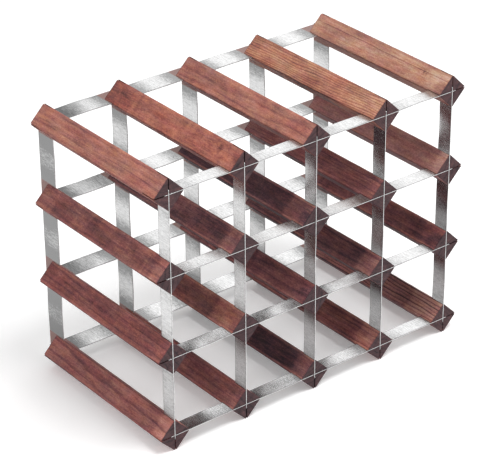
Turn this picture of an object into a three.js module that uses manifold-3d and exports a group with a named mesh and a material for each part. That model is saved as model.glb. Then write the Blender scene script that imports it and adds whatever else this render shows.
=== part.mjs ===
// Wine rack: a lattice of square wooden bars laid front to back, each turned to stand on a corner,
// tied together at the front and at the back by flat steel strips pressed edgewise into saw kerfs.
// Units are millimetres. +X runs along the width, +Y from the front to the back, +Z up.
// The origin is the middle of the footprint, on the surface that the rack stands on.

import * as THREE from 'three';
import { mergeVertices } from 'three/addons/utils/BufferGeometryUtils.js';
import Module from 'manifold-3d';

// ---- driving dimensions -------------------------------------------------------------------------

const COLUMNS = 5;               // bars side by side
const ROWS = 4;                  // bars above each other
const PITCH = 96;                // between bar centres, across and up

const BAR_SIDE = 27.5;           // square section of a bar
const BAR_EDGE_RADIUS = 2;       // rounding along its four long edges
const BAR_LENGTH = 222;
const FOOT_WIDTH = 3;            // flat planed under each bar of the lowest row

const STRIP_THICKNESS = 0.9;
const FRONT_STRIP_WIDTH = 19;    // the front strips end flush with the ends of the bars
const REAR_STRIP_WIDTH = 28;
const REAR_STRIP_PROUD = 14;     // how far the rear strips stand behind the ends of the bars
const FRONT_STRIP_OVERRUN = 5;   // past the centre of the last bar that the strip crosses
const REAR_STRIP_OVERRUN = 2;

const CLEARANCE = 0.3;           // between pieces that fit together
const CORNER_STEPS = 4;          // straight steps in each rounded edge of a bar
const OVERSHOOT = 1;             // how far a cutter reaches past the surface that it opens

// ---- sizes that follow ----------------------------------------------------------------------------

const BAR_HALF_DIAGONAL = BAR_SIDE / Math.SQRT2;
const SLOT = STRIP_THICKNESS + 2 * CLEARANCE;
const DEPTH = BAR_LENGTH + REAR_STRIP_PROUD;
const FRONT_Y = -DEPTH / 2;
const REAR_Y = DEPTH / 2;
const BAR_REAR_Y = FRONT_Y + BAR_LENGTH;
const FRONT_KERF_DEPTH = FRONT_STRIP_WIDTH + CLEARANCE;
const REAR_KERF_DEPTH = REAR_STRIP_WIDTH - REAR_STRIP_PROUD + CLEARANCE;
const LOWEST_ROW_Z = BAR_HALF_DIAGONAL - FOOT_WIDTH / 2;
const RACK_HALF_SPAN = (COLUMNS - 1) * PITCH / 2;
const RACK_RISE = (ROWS - 1) * PITCH;

const columnX = (column) => (column - (COLUMNS - 1) / 2) * PITCH;
const rowZ = (row) => LOWEST_ROW_Z + row * PITCH;

// ---- materials ------------------------------------------------------------------------------------

const REDDISH_BROWN = 0x9a5f50;
const ZINC_GREY = 0xb9bcba;

function stainedPine() {
  return new THREE.MeshStandardMaterial({ color: REDDISH_BROWN, roughness: 0.55, metalness: 0 });
}

function galvanisedSteel() {
  return new THREE.MeshStandardMaterial({ color: ZINC_GREY, roughness: 0.38, metalness: 1 });
}

// ---- solids and cuts --------------------------------------------------------------------------------

const wasm = await Module();
wasm.setup();

function toSolid(geometry) {
  const bare = geometry.clone();
  bare.deleteAttribute('normal');
  bare.deleteAttribute('uv');
  const merged = mergeVertices(bare, 1e-4);
  return new wasm.Manifold(new wasm.Mesh({
    numProp: 3,
    vertProperties: new Float32Array(merged.attributes.position.array),
    triVerts: new Uint32Array(merged.index.array),
  }));
}

function toGeometry(solid) {
  const mesh = solid.getMesh();
  const geometry = new THREE.BufferGeometry();
  geometry.setAttribute('position', new THREE.BufferAttribute(mesh.vertProperties, 3));
  geometry.setIndex(new THREE.BufferAttribute(mesh.triVerts, 1));
  geometry.computeVertexNormals();
  return geometry;
}

function block(x0, x1, y0, y1, z0, z1) {
  const box = new THREE.BoxGeometry(x1 - x0, y1 - y0, z1 - z0);
  box.translate((x0 + x1) / 2, (y0 + y1) / 2, (z0 + z1) / 2);
  return box;
}

function cut(geometry, cutters) {
  const solid = cutters.reduce((rest, cutter) => rest.subtract(toSolid(cutter)), toSolid(geometry));
  return toGeometry(solid);
}

// ---- bars -------------------------------------------------------------------------------------------

// The square on its corner, as the X and Z of its outline. A footed bar has its lowest corner planed flat.
function barSection(footed) {
  const inset = BAR_EDGE_RADIUS * Math.SQRT2;
  const points = [];
  for (let corner = 0; corner < 4; corner += 1) {
    const outward = corner * Math.PI / 2;
    if (footed && corner === 3) {
      points.push(new THREE.Vector2(-FOOT_WIDTH / 2, -LOWEST_ROW_Z));
      points.push(new THREE.Vector2(FOOT_WIDTH / 2, -LOWEST_ROW_Z));
      continue;
    }
    const centre = new THREE.Vector2(Math.cos(outward), Math.sin(outward));
    centre.multiplyScalar(BAR_HALF_DIAGONAL - inset);
    for (let step = 0; step <= CORNER_STEPS; step += 1) {
      const angle = outward + (step / CORNER_STEPS - 0.5) * Math.PI / 2;
      points.push(new THREE.Vector2(
        centre.x + BAR_EDGE_RADIUS * Math.cos(angle),
        centre.y + BAR_EDGE_RADIUS * Math.sin(angle),
      ));
    }
  }
  return new THREE.Shape(points);
}

// Both ends are kerfed corner to corner, so that a strip standing upright and one lying level can enter.
function barGeometry(footed) {
  const bar = new THREE.ExtrudeGeometry(barSection(footed), { depth: BAR_LENGTH, bevelEnabled: false });
  bar.rotateX(Math.PI / 2);
  bar.translate(0, BAR_REAR_Y, 0);
  const reach = BAR_SIDE;
  const spans = [
    [FRONT_Y - OVERSHOOT, FRONT_Y + FRONT_KERF_DEPTH],
    [BAR_REAR_Y - REAR_KERF_DEPTH, BAR_REAR_Y + OVERSHOOT],
  ];
  const kerfs = spans.flatMap(([near, far]) => [
    block(-SLOT / 2, SLOT / 2, near, far, -reach, reach),
    block(-reach, reach, near, far, -SLOT / 2, SLOT / 2),
  ]);
  return cut(bar, kerfs);
}

// ---- strips -----------------------------------------------------------------------------------------

// A frame of strips stands between two depths. Where two strips cross, each is slotted to half its width:
// the uprights run unbroken along the outer edge, and the rails along the inner one.
function stripFrame(outerY, innerY, overrun) {
  const nearY = Math.min(outerY, innerY);
  const farY = Math.max(outerY, innerY);
  const inward = Math.sign(innerY - outerY);
  const middleY = (nearY + farY) / 2;
  const half = STRIP_THICKNESS / 2;

  // A slot runs from just past the strip's middle out through one of its edges.
  const slotSpan = (bottom, mouth) => [Math.min(bottom, mouth), Math.max(bottom, mouth)];
  const uprightSlot = slotSpan(middleY - inward * CLEARANCE / 2, innerY + inward * OVERSHOOT);
  const railSlot = slotSpan(middleY + inward * CLEARANCE / 2, outerY - inward * OVERSHOOT);

  const upright = block(-half, half, nearY, farY, -overrun, RACK_RISE + overrun);
  const uprightSlots = Array.from({ length: ROWS }, (_, row) => {
    const z = row * PITCH;
    return block(-STRIP_THICKNESS, STRIP_THICKNESS, ...uprightSlot, z - SLOT / 2, z + SLOT / 2);
  });
  const railEnd = RACK_HALF_SPAN + overrun;
  const rail = block(-railEnd, railEnd, nearY, farY, -half, half);
  const railSlots = Array.from({ length: COLUMNS }, (_, column) => {
    const x = columnX(column);
    return block(x - SLOT / 2, x + SLOT / 2, ...railSlot, -STRIP_THICKNESS, STRIP_THICKNESS);
  });
  return { upright: cut(upright, uprightSlots), rail: cut(rail, railSlots) };
}

// ---- assembly ---------------------------------------------------------------------------------------

const rack = new THREE.Group();

function place(parent, name, geometry, material, x, z) {
  const mesh = new THREE.Mesh(geometry, material);
  mesh.name = name;
  mesh.position.set(x, 0, z);
  parent.add(mesh);
}

const bars = new THREE.Group();
rack.add(bars);
const footedBar = barGeometry(true);
const plainBar = barGeometry(false);
for (let row = 0; row < ROWS; row += 1) {
  for (let column = 0; column < COLUMNS; column += 1) {
    const name = `bar_row${row + 1}_col${column + 1}`;
    place(bars, name, row === 0 ? footedBar : plainBar, stainedPine(), columnX(column), rowZ(row));
  }
}

const frames = [
  ['front', FRONT_Y, FRONT_Y + FRONT_STRIP_WIDTH, FRONT_STRIP_OVERRUN],
  ['rear', REAR_Y, REAR_Y - REAR_STRIP_WIDTH, REAR_STRIP_OVERRUN],
];
for (const [side, outerY, innerY, overrun] of frames) {
  const strips = new THREE.Group();
  rack.add(strips);
  const { upright, rail } = stripFrame(outerY, innerY, overrun);
  for (let column = 0; column < COLUMNS; column += 1) {
    place(strips, `${side}_upright_${column + 1}`, upright, galvanisedSteel(), columnX(column), rowZ(0));
  }
  for (let row = 0; row < ROWS; row += 1) {
    place(strips, `${side}_rail_${row + 1}`, rail, galvanisedSteel(), 0, rowZ(row));
  }
}

export default rack;
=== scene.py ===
"""The wine rack's looks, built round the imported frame: stained pine bars, galvanised steel strips,
a pale floor, soft studio light and the camera. Lengths are metres unless a name says otherwise."""

import math
import random

import bmesh
import bpy
import numpy as np
from mathutils import Matrix, Vector, noise


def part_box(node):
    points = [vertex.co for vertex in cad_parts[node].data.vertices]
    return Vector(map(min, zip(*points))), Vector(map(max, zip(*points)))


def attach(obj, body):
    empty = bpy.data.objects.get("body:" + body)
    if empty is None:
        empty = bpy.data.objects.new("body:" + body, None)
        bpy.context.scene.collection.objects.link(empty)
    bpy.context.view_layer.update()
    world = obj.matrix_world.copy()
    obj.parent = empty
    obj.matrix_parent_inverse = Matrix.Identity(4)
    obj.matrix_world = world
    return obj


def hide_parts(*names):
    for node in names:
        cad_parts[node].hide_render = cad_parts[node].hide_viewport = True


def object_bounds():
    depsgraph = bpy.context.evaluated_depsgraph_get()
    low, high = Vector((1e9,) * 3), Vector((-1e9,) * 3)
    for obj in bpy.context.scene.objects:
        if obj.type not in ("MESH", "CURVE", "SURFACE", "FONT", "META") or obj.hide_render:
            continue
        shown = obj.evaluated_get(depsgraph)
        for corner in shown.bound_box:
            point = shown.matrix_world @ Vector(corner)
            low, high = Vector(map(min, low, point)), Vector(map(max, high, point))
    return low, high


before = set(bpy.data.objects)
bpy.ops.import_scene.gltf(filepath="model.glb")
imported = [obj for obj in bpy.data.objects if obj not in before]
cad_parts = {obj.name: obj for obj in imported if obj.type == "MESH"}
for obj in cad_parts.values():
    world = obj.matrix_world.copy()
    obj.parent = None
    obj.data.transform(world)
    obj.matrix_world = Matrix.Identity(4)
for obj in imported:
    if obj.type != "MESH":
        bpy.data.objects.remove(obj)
cad_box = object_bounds()

MM = 0.001
SEED = 20

# ---- places and sizes, from the frame ------------------------------------------------------------


def count(prefix):
    return sum(1 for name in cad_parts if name.startswith(prefix))


def middle(node):
    low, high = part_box(node)
    return (low + high) / 2


COLUMNS = count("front_upright_")
ROWS = count("front_rail_")
COLUMN_X = [middle(f"front_upright_{c + 1}").x for c in range(COLUMNS)]
ROW_Z = [middle(f"front_rail_{r + 1}").z for r in range(ROWS)]
PITCH = Vector((COLUMN_X[1] - COLUMN_X[0], 0, ROW_Z[1] - ROW_Z[0]))
FLOOR_Z = cad_box[0].z

BAR_LOW, BAR_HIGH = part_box(f"bar_row{ROWS}_col1")
BAR_MIDDLE_Y = (BAR_LOW.y + BAR_HIGH.y) / 2
HALF_LENGTH = (BAR_HIGH.y - BAR_LOW.y) / 2
BAR_EDGE_RADIUS = 2 * MM
ROUNDED_OFF = BAR_EDGE_RADIUS * (math.sqrt(2) - 1)      # what the rounding takes off a corner
HALF_DIAGONAL = (BAR_HIGH.x - BAR_LOW.x) / 2 + ROUNDED_OFF
BAR_SIDE = HALF_DIAGONAL * math.sqrt(2)
FOOT_DROP = ROW_Z[0] - FLOOR_Z      # from the middle of a lowest bar down to its planed foot
FOOT_HALF_WIDTH = HALF_DIAGONAL - FOOT_DROP

RAIL_LOW, RAIL_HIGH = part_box("front_rail_1")
STRIP_THICKNESS = RAIL_HIGH.z - RAIL_LOW.z
KERF_PLAY = 0.2 * MM                # between a strip and the kerf or slot that it sits in
KERF_HALF = STRIP_THICKNESS / 2 + KERF_PLAY
FRONT_KERF_END_Y = RAIL_HIGH.y + KERF_PLAY
REAR_KERF_END_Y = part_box("rear_rail_1")[0].y - KERF_PLAY

BAR_ARRIS = 0.35 * MM               # worn corner round each bar's ends and along its kerfs
STRIP_ARRIS = 0.22 * MM             # rounding of a strip's sheared edges
BOW = 0.55 * MM                     # most that a strip bends sideways between two bars
TWIST = 0.30 * MM                   # most that its two edges then lean apart

ROUND_STEPS = 3                     # straight steps from a kerf's mouth to the flat of a bar's side
FACE_STEPS = 5                      # steps of mesh across the flat of a bar's side
STATION_GAP = 4.2 * MM              # between rows of points along a piece, roughly
SAME = 0.001 * MM                   # lengths closer than this are the same


def stations(start, end):
    """Evenly spaced places from start to end, both included."""
    gaps = max(1, round((end - start) / STATION_GAP))
    return list(np.linspace(start, end, gaps + 1))


# ---- shader node helpers -------------------------------------------------------------------------

class Shader:
    """A material under construction: each method adds nodes and gives back an output socket."""

    def __init__(self, name):
        self.material = bpy.data.materials.new(name)
        self.material.use_nodes = True
        self.tree = self.material.node_tree
        self.tree.nodes.clear()

    def connect(self, socket, value):
        if isinstance(value, bpy.types.NodeSocket):
            self.tree.links.new(value, socket)
        elif socket.type == "RGBA":
            socket.default_value = (*value[:3], 1)
        else:
            socket.default_value = value

    def node(self, kind, inputs=(), **settings):
        made = self.tree.nodes.new(kind)
        for key, value in settings.items():
            setattr(made, key, value)
        for key, value in dict(inputs).items():
            self.connect(made.inputs[key], value)
        return made

    def maths(self, operation, *values):
        return self.node("ShaderNodeMath", enumerate(values), operation=operation).outputs[0]

    def add(self, first, *others):
        for value in others:
            first = self.maths("ADD", first, value)
        return first

    def times(self, first, second):
        return self.maths("MULTIPLY", first, second)

    def less(self, first, second):
        return self.maths("SUBTRACT", first, second)

    def swing(self, value, amount):
        """A noise value turned into a swing about nought."""
        return self.times(self.less(value, 0.5), amount)

    def vector(self, operation, *values):
        made = self.node("ShaderNodeVectorMath", enumerate(values), operation=operation)
        return made.outputs["Value" if operation in ("LENGTH", "DOT_PRODUCT") else "Vector"]

    def position(self, origin=(0, 0, 0)):
        place = self.node("ShaderNodeNewGeometry").outputs["Position"]
        return self.vector("SUBTRACT", place, origin)

    def shuffled(self, place, chance):
        """The place moved a few metres off, so that no two pieces share a pattern."""
        return self.vector("ADD", place, tuple(chance.uniform(-5, 5) for _ in range(3)))

    def split(self, value):
        return self.node("ShaderNodeSeparateXYZ", {0: value}).outputs

    def noise(self, place, scale, detail=3.0, roughness=0.55, distortion=0.0):
        made = self.node("ShaderNodeTexNoise", {
            "Vector": self.vector("MULTIPLY", place, scale), "Scale": 1.0,
            "Detail": detail, "Roughness": roughness, "Distortion": distortion,
        })
        return made.outputs["Fac"]

    def remap(self, value, low, high, to_low=0.0, to_high=1.0):
        made = self.node("ShaderNodeMapRange", {
            "Value": value, "From Min": low, "From Max": high, "To Min": to_low, "To Max": to_high,
        }, interpolation_type="SMOOTHSTEP")
        return made.outputs["Result"]

    def ramp(self, value, stops):
        made = self.node("ShaderNodeValToRGB", {"Fac": value})
        elements = made.color_ramp.elements
        while len(elements) < len(stops):
            elements.new(0.5)
        for element, (place, colour) in zip(elements, stops):
            element.position = place
            element.color = (*colour, 1)
        return made.outputs["Color"]

    def mix(self, factor, first, second, blend="MIX"):
        made = self.node("ShaderNodeMix", data_type="RGBA", blend_type=blend)
        colours = [socket for socket in made.inputs if socket.type == "RGBA"]
        for socket, value in zip([made.inputs[0], *colours], [factor, first, second]):
            self.connect(socket, value)
        return made.outputs[2]

    def bump(self, height, strength, distance):
        return self.node("ShaderNodeBump", {
            "Height": height, "Strength": strength, "Distance": distance,
        }).outputs["Normal"]

    def finish(self, **inputs):
        named = {key.replace("_", " "): value for key, value in inputs.items()}
        shader = self.node("ShaderNodeBsdfPrincipled", named)
        self.node("ShaderNodeOutputMaterial", {"Surface": shader.outputs["BSDF"]})
        return self.material


def grey(level):
    return (level, level, level)


def cells(across, along):
    """A noise's scale in cells per metre: along Y, which the wood's grain follows, and across it."""
    return (across, along, across)


# ---- wood ----------------------------------------------------------------------------------------

# How each bar was sawn and how it took the stain, by row and column, where it is seen well enough to
# tell. Below the top row, dark and wine are partly painted shade: darker and more purple, as if shaded
# by the bars above and by bottles in the rack. Places round a bar are in degrees, from 0 at the right
# through
# 90 at the top, so that 135 is the middle of its upper left face.
#   dark: 0 pale to 1 nearly black
#   red: 0 drab to 1 ruddy
#   wine: 0 an orange cast to 1 a purple one
#   lines: strength of the growth rings
#   spacing: mm between the rings
#   turn: degrees round the bar to the tree's middle
#   figure: strength of the bands across the grain
#   painted_lit_front: mm at the front end that is painted lighter, a painted pool of light on a shaded
#       bar
#   seam: one dark line along the upper left face, as mm off the face's middle and how dark it is
#   knots, pools: mm from the front end, degrees round the bar, mm across, how much darker
GRAIN = {
    (4, 1): dict(dark=0.40, wine=0.5, lines=0.45, spacing=6.5, turn=85, figure=0.25, seam=(-2.0, 0.14),
                 pools=[(60, 110, 22, -0.05)]),
    (4, 2): dict(dark=0.46, red=0.70, wine=0.35, lines=0.2, spacing=9.0, turn=125, figure=0.7,
                 knots=[(31, 118, 13, 0.28), (184, 165, 6, 0.22)],
                 pools=[(210, 115, 30, 0.20), (2, 130, 7, 0.12)]),
    (4, 3): dict(dark=0.42, wine=0.5, lines=0.45, spacing=5.0, turn=110, figure=0.5),
    (4, 4): dict(dark=0.28, red=0.46, wine=0.2, lines=1.3, spacing=2.6, turn=42, figure=0.35,
                 pools=[(110, 155, 14, 0.12), (215, 110, 14, 0.12), (12, 140, 22, -0.08)]),
    (4, 5): dict(dark=0.28, red=0.24, wine=0.45, lines=0.3, spacing=8.0, turn=135, figure=0.25,
                 seam=(4.0, 0.26), knots=[(38, 122, 6, 0.26), (34, 128, 5, 0.16)],
                 pools=[(15, 130, 21, -0.09), (3, 160, 12, 0.16)]),
    (3, 1): dict(dark=0.54, wine=0.7, lines=0.3, spacing=6.0, turn=170, figure=0.9, painted_lit_front=14,
                 pools=[(205, 140, 16, -0.08), (120, 120, 20, 0.08)]),
    (3, 2): dict(dark=0.71, red=0.30, wine=0.8, lines=0.3, spacing=4.0, turn=60, figure=0.5, painted_lit_front=22),
    (3, 3): dict(dark=0.86, red=0.30, wine=0.8, lines=0.3, spacing=5.0, turn=140, figure=0.4, painted_lit_front=34),
    (3, 4): dict(dark=0.60, wine=0.8, lines=0.6, spacing=4.0, turn=60, figure=0.3),
    (3, 5): dict(dark=0.46, red=0.24, wine=0.8, lines=0.1, spacing=7.0, turn=150, figure=0.25, painted_lit_front=12),
    (2, 1): dict(dark=0.55, red=0.64, wine=0.7, lines=0.5, spacing=5.5, turn=30, figure=0.5),
    (2, 2): dict(dark=0.66, wine=0.5, lines=0.25, spacing=6.0, turn=100, figure=0.5, painted_lit_front=42),
    (2, 4): dict(dark=0.70, red=0.28, wine=0.8, lines=0.5, spacing=5.0, turn=70, figure=0.3, painted_lit_front=26),
    (1, 1): dict(dark=0.46, red=0.57, wine=0.8, lines=0.75, spacing=6.5, turn=106, figure=0.2, painted_lit_front=18),
    (1, 3): dict(dark=0.84, red=0.30, wine=0.8, lines=0.3, spacing=5.0, turn=110, figure=0.4, painted_lit_front=22),
    (1, 4): dict(dark=0.61, wine=0.7, lines=0.6, spacing=5.0, turn=60, figure=0.3, painted_lit_front=26),
    (1, 5): dict(dark=0.46, red=0.24, wine=0.8, lines=1.7, spacing=3.8, turn=42, figure=0.2, painted_lit_front=46),
}

# Stained pine by the depth of its stain, from 0 where it hardly took to 1 where it pooled. On the bars'
# sides the value that picks the colour also carries painted shade and painted light.
STAIN = [
    (0.00, (0.560, 0.330, 0.235)),
    (0.25, (0.400, 0.185, 0.130)),
    (0.50, (0.238, 0.096, 0.080)),
    (0.75, (0.108, 0.048, 0.048)),
    (1.00, (0.036, 0.022, 0.024)),
]
ORANGE_CAST = (1.05, 1.00, 0.84)
WINE_CAST = (0.99, 0.90, 1.12)
DRAB_CAST = (0.85, 1.13, 1.14)
RUDDY_CAST = (1.12, 0.85, 0.84)
END_CAST = (0.80, 0.93, 1.00)
ACROSS_UPPER_LEFT = Vector((1, 0, 1)).normalized()

PITH_OFF_MM = (60, 110)             # from a bar's middle to the tree's, least and most
PITH_LEAN = 0.035                   # most that the tree's middle leans away from the bar, as a slope
RING_WANDER = 9 * MM
SEAM_WANDER = 3.5 * MM
SEAM_REACH = 0.9 * MM               # the dark line fades out this far from its middle
SEAM_CORE = 0.2 * MM
EDGE_MARK_REACH = 2.9 * MM          # wear and a painted highlight along a bar's edges begin this far below its sharp corner
EDGE_MARK_CORE = 1.3 * MM
END_DARKENING = 1.5 * MM                 # the sides are darker this close to the ends
KERF_WALL_REACH = 0.15 * MM               # and, as painted shade, this close to a kerf's walls
KERF_MOUTH_SHADE = 2 * MM           # painted shade: a kerf's walls are lightest this far below the sharp corner
KERF_DEEP_SHADE = 6 * MM            # and darkest from here on
LIT_FRONT_BORDER = 4 * MM                # half the width of the border of the painted light on the front end
LIT_FRONT_WANDER = 10 * MM
GRAIN_DEPTH = 0.3 * MM              # of the fibres' and saw marks' relief

FIBRE = cells(760, 85)
STREAK = cells(330, 14)
CLOUD = cells(70, 26)
BAND = cells(30, 75)
SPECK = cells(680, 480)
HUE = cells(190, 60)
BLUSH = cells(110, 32)
PITH_PATH = cells(45, 9)
SEAM_PATH = cells(3, 12)
PORES = cells(1900, 300)
END_CLOUD = cells(150, 60)
SAW_MARKS = (70, 60, 1500)

# Strength of one growth ring from its inner side to its outer: pale early wood, then dark late wood.
RING_PROFILE = [
    (0.00, grey(0.10)), (0.35, grey(0.0)), (0.66, grey(0.30)),
    (0.82, grey(1.0)), (0.93, grey(0.9)), (1.00, grey(0.10)),
]


def grain_of(row, column):
    """The bar's entry in the table, or one made up for it."""
    chance = random.Random(f"grain {SEED} {row} {column}")
    made_up = dict(
        dark=chance.uniform(0.55, 0.68), wine=chance.uniform(0.5, 0.9), lines=chance.uniform(0.3, 0.8),
        spacing=chance.uniform(3, 7), turn=chance.uniform(0, 360), figure=chance.uniform(0.2, 0.6),
    )
    plain = dict(knots=[], pools=[], seam=None, painted_lit_front=0, red=0.5)
    return plain | made_up | GRAIN.get((row, column), {})


def outward(degrees):
    angle = math.radians(degrees)
    return Vector((math.cos(angle), 0, math.sin(angle)))


def spots(marks):
    """Each mark's middle, measured from the middle of the bar, its size across and how dark it is."""
    for along, around, across, darker in marks:
        middle_of_mark = outward(around) * BAR_SIDE / 2 + Vector((0, along * MM - HALF_LENGTH, 0))
        yield middle_of_mark, across * MM, darker


def distance(s, place, spot, squash):
    """How far a point is from a spot; squash above 1 makes the spot short along the bar."""
    return s.vector("LENGTH", s.vector("MULTIPLY", s.vector("SUBTRACT", place, spot), (1, squash, 1)))


def growth_rings(s, place, grain, chance):
    """Rings are cylinders round a leaning, wandering pith outside the bar, bent round the knots."""
    pith = outward(grain["turn"]) * chance.uniform(*PITH_OFF_MM) * MM
    along = s.split(place)["Y"]
    lean = s.node("ShaderNodeCombineXYZ", {
        "X": s.times(along, chance.uniform(-PITH_LEAN, PITH_LEAN)),
        "Z": s.times(along, chance.uniform(-PITH_LEAN, PITH_LEAN)),
    }).outputs[0]
    across = s.vector("MULTIPLY", s.vector("ADD", s.vector("SUBTRACT", place, pith), lean), (1, 0, 1))
    wander = s.noise(place, PITH_PATH, detail=2.0)
    radius = s.add(s.vector("LENGTH", across), s.swing(wander, RING_WANDER))
    for spot, size, _ in spots(grain["knots"]):
        push = s.remap(distance(s, place, spot, 0.5), size * 1.2, 0.0, 0.0, size * 0.7)
        radius = s.add(radius, push)
    turns = s.times(radius, 1 / (grain["spacing"] * MM))
    year = s.node("ShaderNodeTexWhiteNoise", {"W": s.maths("FLOOR", turns)}, noise_dimensions="1D")
    strength = s.remap(year.outputs["Value"], 0.0, 1.0, 0.5, 1.0)
    return s.times(s.ramp(s.maths("FRACT", turns), RING_PROFILE), strength)


def stain_marks(s, place, shifted, grain, cloud):
    """Darkness added by the bar's knots, its pools of stain and its seam."""
    total = 0.0
    for spot, size, darker in spots(grain["knots"]):
        ragged = s.add(distance(s, place, spot, 1.3), s.swing(cloud, size * 0.5))
        total = s.add(total, s.remap(ragged, size * 0.55, size * 0.12, 0.0, darker))
    for spot, size, darker in spots(grain["pools"]):
        ragged = s.add(distance(s, place, spot, 0.8), s.swing(cloud, size * 0.5))
        total = s.add(total, s.remap(ragged, size, size * 0.4, 0.0, darker))
    if grain["seam"]:
        off_middle, darker = grain["seam"]
        wander = s.noise(shifted, SEAM_PATH, detail=1.0)
        off = s.add(s.vector("DOT_PRODUCT", place, ACROSS_UPPER_LEFT), s.swing(wander, SEAM_WANDER))
        line = s.remap(s.maths("ABSOLUTE", s.less(off, off_middle * MM)), SEAM_REACH, SEAM_CORE)
        total = s.add(total, s.times(line, s.remap(cloud, 0.3, 0.6, 0.8 * darker, darker)))
    return total


def wear_and_painted_light(s, place, grain, cloud, streak):
    """Darkness added or taken off by place: darker at the ends, worn edges with a painted highlight,
    painted shade on the underside and deep in the kerfs, and a painted pool of light on the front end.
    """
    sides = s.split(s.vector("ABSOLUTE", place))
    corner = s.maths("MAXIMUM", sides["X"], sides["Z"])
    edge = s.remap(corner, HALF_DIAGONAL - EDGE_MARK_REACH, HALF_DIAGONAL - EDGE_MARK_CORE)
    worn_lit_edge = s.times(edge, s.remap(streak, 0.30, 0.60, 0.4, 1.0))
    # On a dark bar the edges are lighter, partly wear and partly a painted highlight on the rounded
    # edges;
    # on a pale bar they are darker.
    total = s.times(worn_lit_edge, 0.26 - 0.72 * grain["dark"])

    total = s.add(total, s.remap(sides["Y"], HALF_LENGTH - END_DARKENING, HALF_LENGTH, 0.0, 0.20))
    # Painted shade: faces that look downwards are darker.
    facing = s.split(s.node("ShaderNodeNewGeometry").outputs["Normal"])["Z"]
    total = s.add(total, s.remap(facing, 0.4, -0.5, 0.0, 0.18))
    # Painted shade: a kerf's walls are darker the deeper they lie in the kerf.
    wall = s.remap(s.maths("MINIMUM", sides["X"], sides["Z"]), KERF_HALF + KERF_WALL_REACH, KERF_HALF)
    mouth, deep = HALF_DIAGONAL - KERF_MOUTH_SHADE, HALF_DIAGONAL - KERF_DEEP_SHADE
    total = s.add(total, s.times(wall, s.remap(corner, mouth, deep, 0.1, 0.4)))
    # Painted light: the front end is painted lighter, a lit patch on a bar that is otherwise in shade.
    if grain["painted_lit_front"]:
        end = grain["painted_lit_front"] * MM
        from_front = s.add(s.split(place)["Y"], HALF_LENGTH, s.swing(cloud, LIT_FRONT_WANDER))
        total = s.less(total, s.remap(from_front, end + LIT_FRONT_BORDER, end - LIT_FRONT_BORDER, 0.0, 0.18))
    return total


def long_grain(name, centre, grain, chance):
    """The four sides and the kerfs' walls."""
    s = Shader(name)
    place = s.position(centre)
    shifted = s.shuffled(place, chance)
    rings = growth_rings(s, place, grain, chance)
    fibre = s.noise(shifted, FIBRE, detail=4.0, roughness=0.7)
    streak = s.noise(shifted, STREAK, roughness=0.6)
    cloud = s.noise(shifted, CLOUD, roughness=0.6)
    band = s.noise(shifted, BAND, roughness=0.6, distortion=0.8)
    speck = s.noise(shifted, SPECK, roughness=0.8)
    hue = s.noise(shifted, HUE, roughness=0.7)
    blush = s.noise(shifted, BLUSH, roughness=0.6)

    stain_and_shade = s.add(
        grain["dark"] - 0.05, s.times(rings, 0.34 * grain["lines"]),
        s.swing(fibre, 0.54), s.swing(streak, 0.34), s.swing(cloud, 0.55), s.swing(speck, 0.70),
        s.swing(band, 0.60 * grain["figure"]),
        stain_marks(s, place, shifted, grain, cloud),
        wear_and_painted_light(s, place, grain, cloud, streak),
    )
    warmth = s.mix(s.add(s.swing(hue, 1.9), grain["wine"]), ORANGE_CAST, WINE_CAST)
    redness = s.mix(s.add(s.swing(blush, 1.3), grain["red"]), DRAB_CAST, RUDDY_CAST)
    cast = s.mix(1.0, warmth, redness, blend="MULTIPLY")
    body = s.mix(1.0, s.ramp(stain_and_shade, STAIN), cast, blend="MULTIPLY")
    rough = s.add(s.remap(fibre, 0.3, 0.8, 0.56, 0.72), s.times(rings, -0.06))
    relief = s.add(s.times(fibre, 0.6), s.times(rings, 0.4), s.times(streak, 0.5))
    return s.finish(
        Base_Color=body, Roughness=rough, Normal=s.bump(relief, 0.5, GRAIN_DEPTH),
        Specular_IOR_Level=0.10,
    )


def cut_grain(name, centre, grain, chance):
    """The sawn ends and the kerfs' floors, where the stain soaked in."""
    s = Shader(name)
    place = s.position(centre)
    shifted = s.shuffled(place, chance)
    rings = growth_rings(s, place, grain, chance)
    pores = s.noise(shifted, PORES, roughness=0.7)
    cloud = s.noise(shifted, END_CLOUD)
    saw = s.noise(shifted, SAW_MARKS, detail=1.0)
    stain_and_shade = s.add(
        0.79 + 0.12 * (grain["dark"] - 0.5), s.times(rings, 0.14),
        s.swing(pores, 0.45), s.swing(cloud, 0.45), s.swing(saw, 0.25),
    )
    body = s.mix(1.0, s.ramp(stain_and_shade, STAIN), END_CAST, blend="MULTIPLY")
    relief = s.add(s.times(pores, -0.7), s.times(saw, 0.6))
    return s.finish(
        Base_Color=body, Roughness=s.remap(pores, 0.3, 0.8, 0.60, 0.85),
        Normal=s.bump(relief, 0.6, GRAIN_DEPTH), Specular_IOR_Level=0.2,
    )


# ---- bars ----------------------------------------------------------------------------------------

KERF_MOUTH = math.asin(KERF_HALF / BAR_EDGE_RADIUS)     # where on a rounded corner the kerf opens
ROUND_END = math.pi / 4                                 # and where the rounding meets the flat
END_ARRIS_TURN = 30                 # degrees between faces: sharper edges on a bar's ends are softened
KERF_ARRIS_TURN = 50                # and so are the edges along a kerf that turn more than this
BAR_CORE = 3 * MM                   # no edge this near to a bar's middle is softened
END_FACING = 0.8                    # faces that look along the bar more than this show cut grain

HOLLOW = 0.10 * MM                  # most that a bar's sides are worn down
HOLLOW_CELLS = 70                   # of noise in a metre
DENT = 0.34 * MM                    # and most that its edges are dented on top of that
DENT_CELLS = 95
DENT_GAPS = 0.08                    # dents begin where their noise is above this
DENT_REACH = 4.5 * MM               # from a bar's sharp corner
WORN_BEYOND = 5 * MM                # wear stays out of a bar's core
ROW_SEED = 17
COLUMN_SEED = 101


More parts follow.
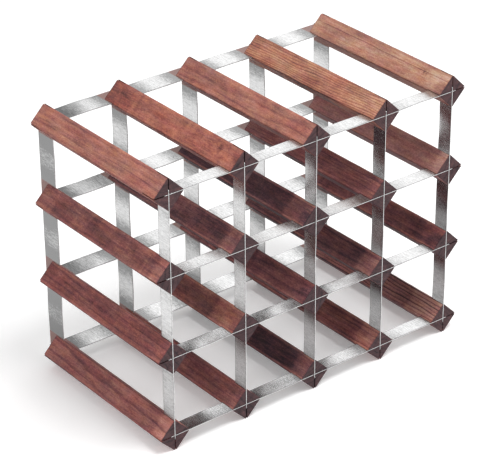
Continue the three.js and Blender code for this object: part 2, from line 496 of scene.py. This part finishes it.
def corner_round(angles):
    """Points on the rounded corner that points along X, as (x, z)."""
    out = HALF_DIAGONAL - BAR_EDGE_RADIUS * math.sqrt(2)
    return [(out + BAR_EDGE_RADIUS * math.cos(a), BAR_EDGE_RADIUS * math.sin(a)) for a in angles]


def quarter_outline():
    """Outer outline of a bar's upper right quarter, from the level kerf round to the upright one."""
    lower = corner_round(np.linspace(KERF_MOUTH, ROUND_END, ROUND_STEPS + 1))
    xs = np.linspace(HALF_DIAGONAL - FOOT_HALF_WIDTH, FOOT_HALF_WIDTH, FACE_STEPS + 1)
    face = [(x, HALF_DIAGONAL - x) for x in xs]
    upper = [(z, x) for x, z in reversed(lower)]
    return lower + face + upper


def tip_outline():
    """The rounded edge over the kerf's width, next to the upper right quarter."""
    return [(-z, x) for x, z in corner_round((-KERF_MOUTH / 2, 0, KERF_MOUTH / 2))]


def turned(points, quarters):
    for _ in range(quarters):
        points = [(-z, x) for x, z in points]
    return points


def bar_stations():
    """Where along Y a bar gets points, and which of these the front and rear kerfs end at."""
    front = stations(BAR_LOW.y, FRONT_KERF_END_Y)
    body = stations(FRONT_KERF_END_Y, REAR_KERF_END_Y)
    rear = stations(REAR_KERF_END_Y, BAR_HIGH.y)
    front_stop = len(front) - 1
    return front[:-1] + body + rear[1:], front_stop, front_stop + len(body) - 1


def skin(bm, near, far):
    """Quads between two open chains of vertices."""
    for a, b, c, d in zip(near, near[1:], far[1:], far):
        bm.faces.new((a, b, c, d))


def kerfed_prism(bm, footed):
    """A square bar on its corner, kerfed corner to corner at both ends, about Y through the origin."""
    def planted(points):
        return [(x, max(z, -FOOT_DROP)) for x, z in points] if footed else points

    quarters = [planted(turned(quarter_outline(), q)) for q in range(4)]
    tips = [planted(turned(tip_outline(), q)) for q in range(4)]
    inner = [turned([(KERF_HALF, KERF_HALF)], q)[0] for q in range(4)]
    depths, front_stop, rear_stop = bar_stations()

    quarter_at, tip_at, inner_at = [], [], []
    for i, y in enumerate(depths):
        quarter_at.append([[bm.verts.new((x, y, z)) for x, z in q] for q in quarters])
        # Where a kerf ends, the section gets both the points of the whole bar and those of its quarters.
        whole = front_stop <= i <= rear_stop
        tip_at.append([[bm.verts.new((x, y, z)) for x, z in t] for t in tips] if whole else None)
        split = i <= front_stop or i >= rear_stop
        inner_at.append([bm.verts.new((x, y, z)) for x, z in inner] if split else None)

    last = len(depths) - 1
    for i in range(last):
        if front_stop <= i < rear_stop:
            loops = [[v for q in range(4) for v in quarter_at[j][q] + tip_at[j][q]] for j in (i, i + 1)]
            skin(bm, *[loop + loop[:1] for loop in loops])
            continue
        for q in range(4):
            skin(bm, *[quarter_at[j][q] + [inner_at[j][q], quarter_at[j][q][0]] for j in (i, i + 1)])
    for i in (0, last):
        for q in range(4):
            bm.faces.new(quarter_at[i][q] + [inner_at[i][q]])
    for i in (front_stop, rear_stop):
        bm.faces.new(inner_at[i])
        for q in range(4):
            after = (q + 1) % 4
            arm = [inner_at[i][q], quarter_at[i][q][-1], *tip_at[i][q]]
            bm.faces.new(arm + [quarter_at[i][after][0], inner_at[i][after]])
    bmesh.ops.recalc_face_normals(bm, faces=bm.faces)


def soften_arrises(bm):
    """Round the sharp edges at a bar's ends and at the mouths of its kerfs."""
    def at_end(vert):
        return vert.co.y < BAR_LOW.y + SAME or vert.co.y > BAR_HIGH.y - SAME

    def is_arris(edge):
        turn = math.degrees(edge.calc_face_angle(0))
        out = max(abs(edge.verts[0].co.x), abs(edge.verts[0].co.z))
        if all(at_end(v) for v in edge.verts) and turn > END_ARRIS_TURN:
            return True
        return out > BAR_CORE and turn > KERF_ARRIS_TURN

    bmesh.ops.bevel(
        bm, geom=[e for e in bm.edges if is_arris(e)], offset=BAR_ARRIS, segments=2, profile=0.5,
        affect="EDGES", clamp_overlap=True,
    )


def wear(bm, footed, chance):
    """Press shallow hollows into a bar's sides, deepest along its edges, and none into its kerfs."""
    offset = Vector(tuple(chance.uniform(-50, 50) for _ in range(3)))
    for v in bm.verts:
        x, y, z = v.co
        kerfed = y < FRONT_KERF_END_Y + SAME or y > REAR_KERF_END_Y - SAME
        in_kerf = kerfed and min(abs(x), abs(z)) < KERF_HALF + 10 * SAME
        reach = math.hypot(x, z)
        if not in_kerf and reach > WORN_BEYOND:
            along_grain = noise.noise(Vector((x, y * 0.4, z)) * HOLLOW_CELLS + offset)
            press = HOLLOW * (0.5 + 0.5 * along_grain)
            if max(abs(x), abs(z)) > HALF_DIAGONAL - DENT_REACH:
                knock = noise.noise(Vector((x * 2, y, z * 2)) * DENT_CELLS + offset * 2)
                press += DENT * max(0.0, knock - DENT_GAPS)
            shrink = 1 - press / reach
            v.co.x, v.co.z = x * shrink, z * shrink
        if footed:
            v.co.z = max(v.co.z, -FOOT_DROP)


def to_mesh(bm, name):
    mesh = bpy.data.meshes.new(name)
    bm.to_mesh(mesh)
    bm.free()
    return mesh


def bar_mesh(name, footed, chance):
    bm = bmesh.new()
    kerfed_prism(bm, footed)
    soften_arrises(bm)
    wear(bm, footed, chance)
    for face in bm.faces:
        face.smooth = True
        face.material_index = 1 if abs(face.normal.y) > END_FACING else 0
    return to_mesh(bm, name)


def add_piece(name, mesh, place, materials, node):
    mesh.transform(Matrix.Translation(place))
    piece = bpy.data.objects.new(name, mesh)
    bpy.context.scene.collection.objects.link(piece)
    for material in materials:
        mesh.materials.append(material)
    even = piece.modifiers.new("even_normals", "WEIGHTED_NORMAL")
    even.keep_sharp = True
    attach(piece, "root")
    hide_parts(node)


def wooden_bars():
    for row in range(ROWS):
        for column in range(COLUMNS):
            tag = f"row{row + 1}_col{column + 1}"
            grain = grain_of(row + 1, column + 1)
            place = Vector((COLUMN_X[column], 0, ROW_Z[row]))
            centre = place + Vector((0, BAR_MIDDLE_Y, 0))
            # The same chance for both, so that the rings on the ends meet those on the sides.
            wood = [
                long_grain(f"stained_pine_{tag}", centre, grain, random.Random(f"long {tag}")),
                cut_grain(f"end_grain_{tag}", centre, grain, random.Random(f"long {tag}")),
            ]
            chance = random.Random(SEED + row * ROW_SEED + column * COLUMN_SEED)
            mesh = bar_mesh(f"bar_{tag}", row == 0, chance)
            add_piece(f"wooden_bar_{tag}", mesh, place, wood, f"bar_{tag}")


# ---- steel ---------------------------------------------------------------------------------------

# Galvanised steel, dull zinc to bright.
ZINC = [(0.00, grey(0.22)), (0.45, grey(0.54)), (0.75, grey(0.68)), (1.00, grey(0.84))]
STAIN_THIN = (0.270, 0.120, 0.095)
STAIN_THICK = (0.150, 0.060, 0.050)
DARKER_REFLECTIONS = {"rear_upright_1": 0.42, "rear_upright_2": 0.10}     # painted reflection: these strips are painted darker, as if mirroring dark surroundings
NEAR_BAR_SHADE_REACH = 26 * MM                # painted shade: the zinc is painted darker within this of a bar
REAR_NEAR_BAR_SHADE = -0.60                # painted shade: how much darker a rear strip is painted next to a bar
FRONT_NEAR_BAR_SHADE = -0.20
RIM_SHADE_REACH = 1.1 * MM                # painted shade: the faces are painted darker this close to the sheared edges
RIM_SHADE_CORE = 0.2 * MM
STAIN_EDGE = 1.5 * MM               # width of the soft border of the wood stain behind the bars
STAIN_WANDER = 3 * MM
STAIN_OVERHANG = 2 * MM             # the stain ends this far beyond the last bar
SCRATCH_DEPTH = 0.1 * MM
FACE_FACING = 0.75                  # faces of a flat strip that look sideways more than this are zinc
RIM_TURN = 60                       # degrees between faces: sharper edges of a strip are rims

CROSSWISE = cells(720, 110)         # drawn out over the strip's width
MOTTLE = cells(640, 520)
PATCHES = cells(17, 17)
SPANGLE_CELLS = 260.0               # crystals of zinc in a metre
EDGE_MOTTLE = cells(500, 500)
SHEAR_MARKS = cells(1600, 200)


def from_nearest_bar(s, place):
    """How far a point is from the middle of the nearest bar, sideways and upwards added together.

    The pitch along Y is nought, and Y isn't used.
    """
    first_bar = (COLUMN_X[0], 0, ROW_Z[0])
    wrapped = s.vector("WRAP", s.vector("SUBTRACT", place, first_bar), PITCH / 2, -PITCH / 2)
    away = s.split(s.vector("ABSOLUTE", wrapped))
    return s.add(away["X"], away["Z"])


def crept_stain(s, place, reach, mottle):
    """How much of the wood's stain lies on the part of a strip that is in line with a bar."""
    ragged = s.add(reach, s.swing(mottle, STAIN_WANDER))
    thickness = s.remap(mottle, 0.2, 0.6, 0.75, 1.0)
    amount = s.times(s.remap(ragged, HALF_DIAGONAL + STAIN_EDGE, HALF_DIAGONAL), thickness)
    for axis, (first, *_, last) in (("X", COLUMN_X), ("Z", ROW_Z)):
        outside = s.maths("ABSOLUTE", s.less(s.split(place)[axis], (first + last) / 2))
        half_span = (last - first) / 2
        amount = s.times(amount, s.remap(outside, half_span + STAIN_OVERHANG, half_span))
    return amount


def galvanised(name, chance, edges, reflection_darkening, stained):
    """A strip's two faces: fine marks across the strip, faint spangle, patches of duller zinc, and
    painted shade next to the bars and along the sheared edges.
    """
    s = Shader(name)
    place = s.position()
    shifted = s.shuffled(place, chance)
    crystals = s.node("ShaderNodeTexVoronoi", {"Vector": shifted, "Scale": SPANGLE_CELLS})
    spangle = s.split(crystals.outputs["Color"])["X"]
    crosswise = s.noise(shifted, CROSSWISE, detail=5.0, roughness=0.75)
    mottle = s.noise(shifted, MOTTLE, roughness=0.7)
    cloud = s.noise(shifted, PATCHES)

    across = s.split(place)["Y"]
    rim = s.maths("MINIMUM", s.less(across, edges[0]), s.less(edges[1], across))
    reach = from_nearest_bar(s, place)
    # Painted shade: rear strips, which also carry the stain, are painted darker next to the bars than
    # front ones.
    near_bar_shade = REAR_NEAR_BAR_SHADE if stained else FRONT_NEAR_BAR_SHADE
    shine = s.add(
        # Painted reflection: a strip listed for it is painted darker all over.
        0.54 - reflection_darkening, s.swing(crosswise, 1.10), s.swing(mottle, 0.55), s.swing(cloud, 0.35),
        # Painted shade along the sheared edges: the faces there are darker.
        s.swing(spangle, 0.08), s.remap(rim, RIM_SHADE_REACH, RIM_SHADE_CORE, 0.0, -0.45),
        # Painted shade: darker next to each bar.
        s.remap(reach, HALF_DIAGONAL + NEAR_BAR_SHADE_REACH, HALF_DIAGONAL, 0.0, near_bar_shade),
    )
    body = s.ramp(shine, ZINC)
    rough = s.add(
        0.16, s.swing(crosswise, 0.10), s.swing(mottle, -0.10), s.swing(cloud, 0.12),
        s.swing(spangle, 0.03),
    )
    metal = 1.0
    if stained:
        crept = crept_stain(s, place, reach, mottle)
        body = s.mix(crept, body, s.mix(cloud, STAIN_THICK, STAIN_THIN))
        rough = s.add(rough, s.times(crept, 0.30))
        metal = s.less(1.0, s.times(crept, 0.97))
    relief = s.add(s.times(crosswise, 0.7), s.times(mottle, 0.15))
    return s.finish(
        Base_Color=body, Metallic=metal, Roughness=rough, Normal=s.bump(relief, 0.16, SCRATCH_DEPTH),
    )


def sheared(name, chance):
    """The bare cut edge of a strip, with fine shear marks."""
    s = Shader(name)
    shifted = s.shuffled(s.position(), chance)
    mottle = s.noise(shifted, EDGE_MOTTLE)
    marks = s.noise(shifted, SHEAR_MARKS, detail=2.0)
    body = s.mix(s.remap(mottle, 0.3, 0.7), grey(0.52), grey(0.74))
    rough = s.remap(mottle, 0.3, 0.7, 0.25, 0.40)
    return s.finish(
        Base_Color=body, Metallic=1.0, Roughness=rough, Normal=s.bump(marks, 0.2, SCRATCH_DEPTH),
    )


def strip_lengths(span, crossings):
    """Grid lines along a strip: its ends, the sides of its slots, and even steps between these."""
    stops = sorted([*span, *(c - KERF_HALF for c in crossings), *(c + KERF_HALF for c in crossings)])
    lines = stops[:1]
    for start, end in zip(stops, stops[1:]):
        lines += stations(start, end)[1:]
    return lines


def strip_widths(span, slot):
    """Grid lines across a strip, one of them along the bottom of its slots."""
    bottom = slot[1] if slot[0] <= span[0] else slot[0]
    return stations(span[0], bottom)[:-1] + stations(bottom, span[1])


def slotted_plate(bm, lengths, widths, crossings, slot):
    """A flat plate in the XY plane made of small cells, with no cells in its slots."""
    def solid(i, j):
        if not (0 <= i < len(lengths) - 1 and 0 <= j < len(widths) - 1):
            return False
        along = (lengths[i] + lengths[i + 1]) / 2
        across = (widths[j] + widths[j + 1]) / 2
        at_crossing = any(abs(along - c) < KERF_HALF for c in crossings)
        return not (at_crossing and slot[0] < across < slot[1])

    corners = {}

    def corner(i, j, side):
        if (i, j, side) not in corners:
            corners[i, j, side] = bm.verts.new((lengths[i], widths[j], side * STRIP_THICKNESS / 2))
        return corners[i, j, side]

    for i in range(len(lengths) - 1):
        for j in range(len(widths) - 1):
            if not solid(i, j):
                continue
            square = [(i, j), (i + 1, j), (i + 1, j + 1), (i, j + 1)]
            bm.faces.new([corner(*p, 1) for p in square])
            bm.faces.new([corner(*p, -1) for p in reversed(square)])
            neighbours = [(i, j - 1), (i + 1, j), (i, j + 1), (i - 1, j)]
            for a, b, neighbour in zip(square, square[1:] + square[:1], neighbours):
                if not solid(*neighbour):
                    bm.faces.new([corner(*a, -1), corner(*b, -1), corner(*b, 1), corner(*a, 1)])
    bmesh.ops.recalc_face_normals(bm, faces=bm.faces)


def soften_rims(bm):
    """Round the edges between a plate's two faces and its sheared sides."""
    def is_rim(edge):
        a, b = (v.co for v in edge.verts)
        through = abs(a.x - b.x) < SAME and abs(a.y - b.y) < SAME
        return not through and math.degrees(edge.calc_face_angle(0)) > RIM_TURN

    bmesh.ops.bevel(
        bm, geom=[e for e in bm.edges if is_rim(e)], offset=STRIP_ARRIS, segments=2, profile=0.5,
        affect="EDGES", clamp_overlap=True,
    )


def bend(bm, crossings, widths, chance):
    """Bow and twist a strip a little between each two bars that hold it."""
    bays = [(a + HALF_DIAGONAL, b - HALF_DIAGONAL) for a, b in zip(crossings, crossings[1:])]
    bows = [(chance.uniform(-BOW, BOW), chance.uniform(-TWIST, TWIST)) for _ in bays]
    for v in bm.verts:
        lean = 2 * (v.co.y - widths[0]) / (widths[-1] - widths[0]) - 1
        for (start, end), (bow, twist) in zip(bays, bows):
            if start < v.co.x < end:
                swell = math.sin(math.pi * (v.co.x - start) / (end - start)) ** 2
                v.co.z += swell * (bow + twist * lean)


SWAP_X_AND_Z = Matrix(((0, 0, 1, 0), (0, 1, 0, 0), (1, 0, 0, 0), (0, 0, 0, 1)))


def strip_mesh(name, length_span, width_span, crossings, slot, upright, chance):
    """A slotted strip, made lying along X with its width along Y; an upright is then turned to Z."""
    bm = bmesh.new()
    lengths = strip_lengths(length_span, crossings)
    widths = strip_widths(width_span, slot)
    slotted_plate(bm, lengths, widths, crossings, slot)
    soften_rims(bm)
    for face in bm.faces:
        face.smooth = True
        face.material_index = 0 if abs(face.normal.z) > FACE_FACING else 1
    bend(bm, crossings, widths, chance)
    if upright:
        bm.transform(SWAP_X_AND_Z)
        bmesh.ops.recalc_face_normals(bm, faces=bm.faces)
    return to_mesh(bm, name)


def steel_strip(side, kind, index):
    node = f"{side}_{kind}_{index + 1}"
    low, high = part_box(node)
    upright = kind == "upright"
    length_span = (low.z, high.z) if upright else (low.x, high.x)
    crossings = ROW_Z if upright else COLUMN_X
    place = Vector((COLUMN_X[index], 0, 0)) if upright else Vector((0, 0, ROW_Z[index]))
    # Uprights are slotted from the inner edge, rails from the outer one.
    middle_y = (low.y + high.y) / 2
    from_low_y = upright == (side == "rear")
    slot = (low.y, middle_y + KERF_PLAY / 2) if from_low_y else (middle_y - KERF_PLAY / 2, high.y)
    chance = random.Random(f"strip {node}")
    width_span = (low.y, high.y)
    mesh = strip_mesh(f"{node}_mesh", length_span, width_span, crossings, slot, upright, chance)
    face_chance = random.Random(f"face {node}")
    reflection_darkening = DARKER_REFLECTIONS.get(node, 0.0)
    steel = [
        galvanised(f"galvanised_{node}", face_chance, width_span, reflection_darkening, stained=side == "rear"),
        sheared(f"sheared_{node}", random.Random(f"edge {node}")),
    ]
    add_piece(f"steel_{node}", mesh, place, steel, node)


def steel_strips():
    for side in ("front", "rear"):
        for kind, number in (("upright", COLUMNS), ("rail", ROWS)):
            for index in range(number):
                steel_strip(side, kind, index)


# ---- floor, light and camera ---------------------------------------------------------------------

FLOOR_SIZE = 14
FLOOR_GLOW = 0.22                   # painted light: the floor glows a little, though it is no lamp, so that shadows stay pale
FLOOR_PATCHES = cells(3, 3)
WORLD_BRIGHTNESS = 0.60
STUDIO_MIDDLE = Vector((0, 0, 0.15))

CAMERA_AZIMUTH = -38.10             # degrees; 0 looks along +Y
CAMERA_ELEVATION = 28.81
CAMERA_ROLL = -0.383
CAMERA_DISTANCE = 2.4485
CAMERA_TARGET = Vector((-0.0026, -0.0070, 0.14965))
CAMERA_LENS = 158.77                # mm, for a sensor of this width
SENSOR_WIDTH = 36
CAMERA_REACH = 50


def floor():
    s = Shader("pale_floor")
    body = s.mix(s.noise(s.position(), FLOOR_PATCHES), grey(0.90), grey(0.93))
    material = s.finish(
        Base_Color=body, Roughness=0.7, Emission_Color=grey(1.0), Emission_Strength=FLOOR_GLOW,
    )
    bpy.ops.mesh.primitive_plane_add(size=FLOOR_SIZE, location=(0, 0, FLOOR_Z))
    plane = bpy.context.object
    plane.name = "floor"
    plane.data.materials.append(material)


def soft_box(name, place, size, brightness):
    """A rectangular panel of the given brightness (radiance), facing the middle of the studio."""
    data = bpy.data.lights.new(name, "AREA")
    data.shape = "RECTANGLE"
    data.size, data.size_y = size
    data.energy = brightness * math.pi * size[0] * size[1]
    lamp = bpy.data.objects.new(name, data)
    lamp.location = place
    lamp.rotation_euler = (STUDIO_MIDDLE - Vector(place)).to_track_quat("-Z", "Y").to_euler()
    bpy.context.scene.collection.objects.link(lamp)


def studio():
    world = bpy.data.worlds.new("studio")
    bpy.context.scene.world = world
    world.use_nodes = True
    background = world.node_tree.nodes["Background"]
    background.inputs["Color"].default_value = (1.0, 1.0, 1.0, 1)
    background.inputs["Strength"].default_value = WORLD_BRIGHTNESS
    soft_box("overhead", (0.15, -0.55, 1.75), (0.8, 0.8), 10.5)
    soft_box("behind", (2.2, 1.7, 1.4), (2.15, 2.0), 0.97)
    soft_box("left", (-2.0, 0.5, 1.3), (1.4, 1.4), 1.4)
    bpy.context.scene.view_settings.view_transform = "Standard"


def camera():
    azimuth = math.radians(CAMERA_AZIMUTH)
    elevation = math.radians(CAMERA_ELEVATION)
    roll = math.radians(CAMERA_ROLL)
    back = Vector((
        math.sin(azimuth) * math.cos(elevation), -math.cos(azimuth) * math.cos(elevation),
        math.sin(elevation),
    ))
    data = bpy.data.cameras.new("camera")
    data.lens = CAMERA_LENS
    data.sensor_width = SENSOR_WIDTH
    data.clip_end = CAMERA_REACH
    made = bpy.data.objects.new("camera", data)
    bpy.context.scene.collection.objects.link(made)
    level = back.to_track_quat("Z", "Y").to_matrix()
    turn = (level @ Matrix.Rotation(roll, 3, "Z")).to_4x4()
    made.matrix_world = Matrix.Translation(CAMERA_TARGET + back * CAMERA_DISTANCE) @ turn
    bpy.context.scene.camera = made


wooden_bars()
steel_strips()
floor()
studio()
camera()
